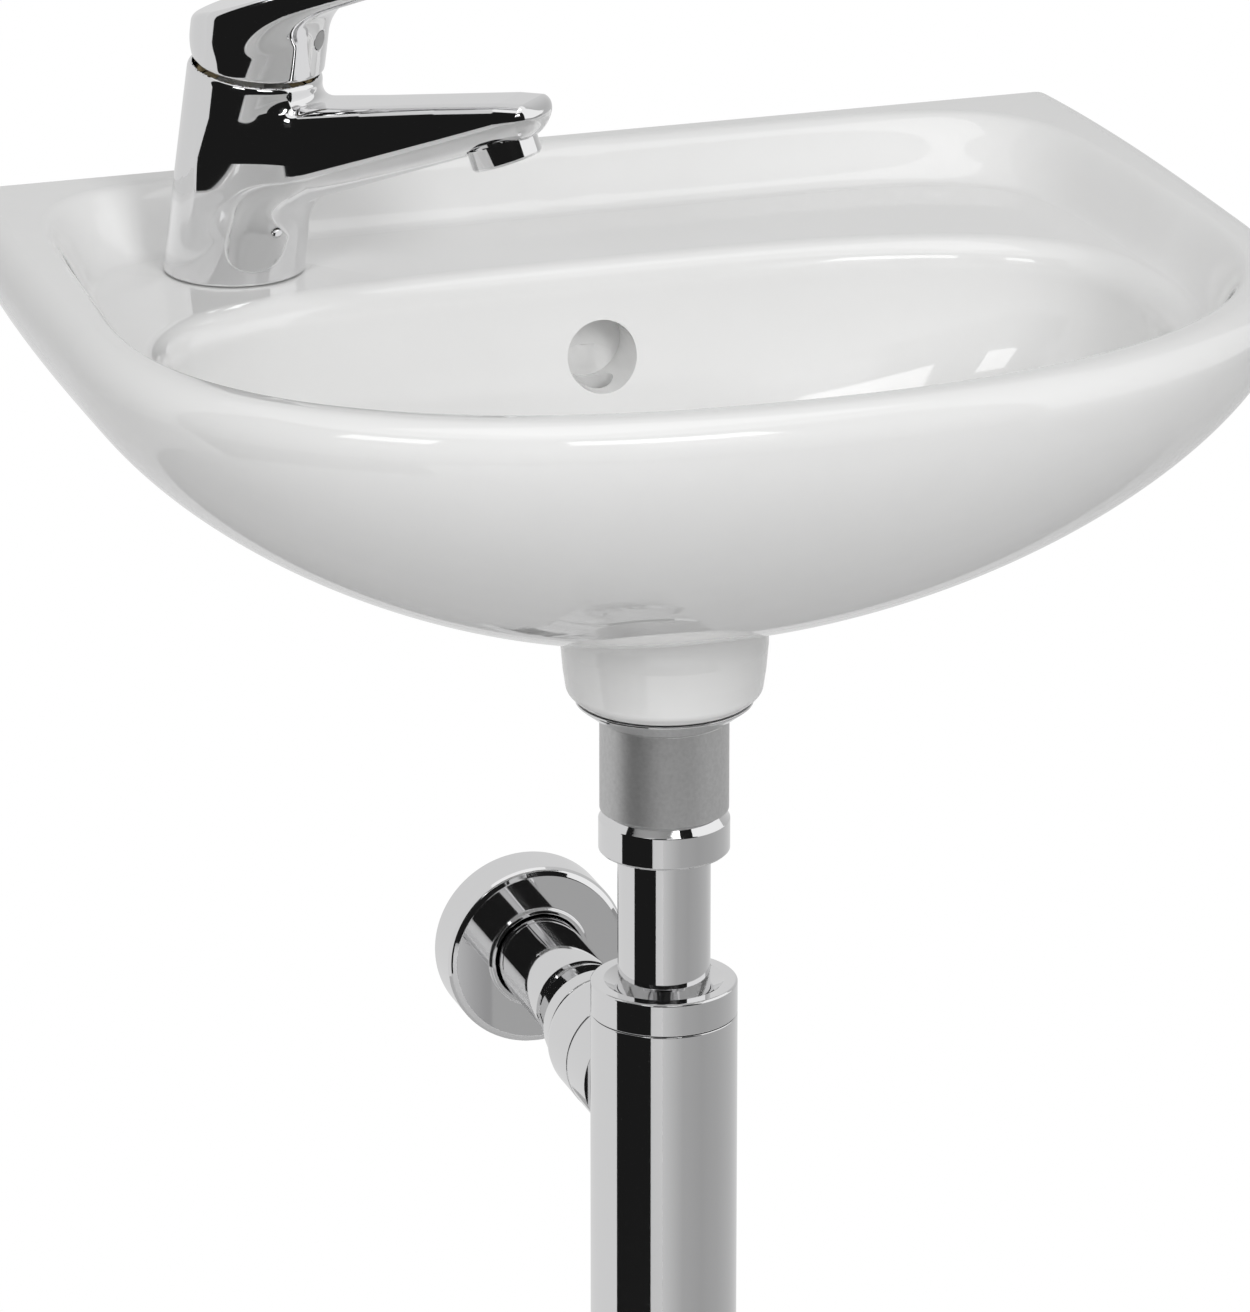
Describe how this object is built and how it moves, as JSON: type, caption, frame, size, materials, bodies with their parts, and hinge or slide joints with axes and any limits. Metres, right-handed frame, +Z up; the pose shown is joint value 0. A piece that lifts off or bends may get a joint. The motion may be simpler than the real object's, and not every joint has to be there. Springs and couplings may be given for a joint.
{
  "type": "wall hung basin",
  "caption": "Small wall hung washbasin with a single-lever mixer on a raised back deck, overflow, push-open waste and chromed bottle trap with wall tube and rosette.",
  "frame": {"origin": "on the wall, midway between the two fixing holes", "axes": "+Y into the wall, +Z up, +X to the right of a person facing the basin"},
  "size_m": [0.4195, 0.358, 0.5222],
  "materials": {
    "ceramic": "glazed white ceramic, mirror gloss",
    "chrome": "polished chrome plate on brass",
    "frosted_nickel": "matt frosted nickel plate",
    "brass": "bare turned brass",
    "steel": "plain steel",
    "rubber": "black rubber",
    "plastic": "pale moulded plastic",
    "index_grey": "smooth grey plastic"
  },
  "bodies": {
    "fixed": {"basin": "ceramic", "wall_bushes": "plastic", "waste_flange": "chrome", "flange_seal": "rubber", "waste_body": "frosted_nickel", "plug_cage": "plastic", "plug_spring": "steel", "lower_seal": "rubber", "waste_cup": "chrome", "inlet_nut": "chrome", "inlet_washer": "rubber", "dip_tube": "chrome", "trap_collar": "chrome", "collar_seal": "rubber", "trap_body": "chrome", "outlet_nut": "chrome", "outlet_cone": "chrome", "outlet_seal": "rubber", "wall_tube": "chrome", "tap_body": "chrome", "tap_base_seal": "rubber", "tap_stud": "steel", "tap_horseshoe_seal": "rubber", "tap_horseshoe": "steel", "tap_nut": "brass", "cartridge_body": "plastic", "cartridge_nut": "brass", "aerator_housing": "chrome", "aerator_insert": "plastic", "aerator_seal": "rubber"},
    "carrier": {"cartridge_carrier": "plastic", "cartridge_pin": "steel"},
    "lever": {"lever": "chrome", "lever_screw": "steel", "lever_index": "index_grey", "cartridge_spindle": "plastic"},
    "plug": {"plug_cap": "chrome", "plug_stem": "brass", "plug_seal": "rubber"},
    "rosette": {"rosette": "chrome", "rosette_ring": "rubber"},
    "trap_cup": {"trap_cup": "chrome", "cup_seal": "rubber"}
  },
  "joints": [
    {"name": "lever_turn", "type": "hinge", "parent": "fixed", "child": "carrier", "pos_m": [-0.12, -0.055, 0.056], "axis": [0.0923, -0.0923, 0.9914], "range_deg": [-50, 50]},
    {"name": "lever_lift", "type": "hinge", "parent": "carrier", "child": "lever", "pos_m": [-0.11225, -0.06275, 0.13928], "axis": [-0.7071, -0.7071, 0], "range_deg": [0, 25]},
    {"name": "plug_push", "type": "slide", "parent": "fixed", "child": "plug", "axis": [0, 0, 1], "range_m": [-0.008, 0], "stiffness_N_per_m": 400, "springref_m": 0.01, "deforming": ["plug_spring"]},
    {"name": "rosette_slide", "type": "slide", "parent": "fixed", "child": "rosette", "axis": [0, -1, 0], "range_m": [0, 0.03]},
    {"name": "cup_unscrew", "type": "slide", "parent": "fixed", "child": "trap_cup", "axis": [0, 0, -1], "range_m": [0, 0.04]}
  ]
}
